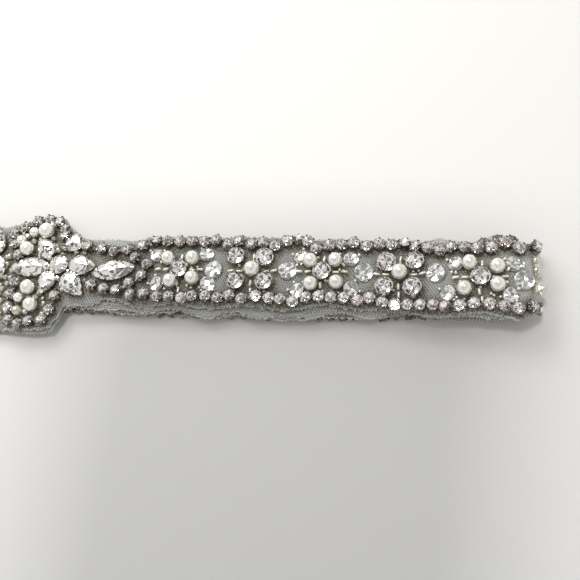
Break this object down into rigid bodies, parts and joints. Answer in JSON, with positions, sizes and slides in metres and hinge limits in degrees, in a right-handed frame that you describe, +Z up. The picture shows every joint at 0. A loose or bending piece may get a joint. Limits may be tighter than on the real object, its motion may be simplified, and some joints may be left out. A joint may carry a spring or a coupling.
{
  "type": "bridal sash",
  "caption": "Narrow net belt with a crystal medallion, cup-chain edges and pearl motifs, folded flat with its beaded face up.",
  "frame": {"origin": "middle of the footprint, on the surface that the folded sash lies on", "axes": "+X along the sash towards the right-hand fold, +Y across it away from the viewer, +Z up out of the beaded face"},
  "size_m": [0.309, 0.0356, 0.0127],
  "materials": {
    "net": "soft grey tulle in several layers, matt",
    "cup_chain": "darkened silver cups with clear round crystals",
    "crystal": "clear faceted crystal, foil backed, in metal cups",
    "pearl": "ivory pearl lustre",
    "bead": "silver-lined ivory bugle beads and clear seed beads",
    "sequin": "clear faceted discs and petal sequins"
  },
  "bodies": {
    "root": {"chain_back_left": "cup_chain", "chain_back_right": "cup_chain", "chain_front_left": "cup_chain", "chain_front_right": "cup_chain", "crystal_middle": "crystal", "crystal_round_left": "crystal", "crystal_round_right": "crystal", "diamond_1_left": "crystal", "diamond_1_right": "crystal", "diamond_2_left": "crystal", "diamond_2_right": "crystal", "flower_1_left": "pearl", "flower_1_right": "pearl", "flower_2_left": "pearl", "flower_2_right": "pearl", "flower_3_left": "pearl", "flower_3_right": "pearl", "fold_stones_left": "crystal", "fold_stones_right": "crystal", "navette_1_left": "crystal", "navette_1_right": "crystal", "navette_2_left": "crystal", "navette_2_right": "crystal", "net_fold_left": "net", "net_fold_right": "net", "net_top": "net", "pear_1_left": "crystal", "pear_1_right": "crystal", "pear_2_left": "crystal", "pear_2_right": "crystal", "pear_3_left": "crystal", "pear_3_right": "crystal", "pear_4_left": "crystal", "pear_4_right": "crystal", "pear_5_left": "crystal", "pear_5_right": "crystal", "pear_middle_back": "crystal", "pear_middle_front": "crystal", "pearls_back_left": "pearl", "pearls_back_right": "pearl", "pearls_front_left": "pearl", "pearls_front_right": "pearl", "tail_chain_left": "cup_chain", "tail_chain_right": "cup_chain", "under_layers": "net", "wing_chain_back_left": "cup_chain", "wing_chain_back_right": "cup_chain", "wing_chain_front_left": "cup_chain", "wing_chain_front_right": "cup_chain"}
  },
  "joints": []
}
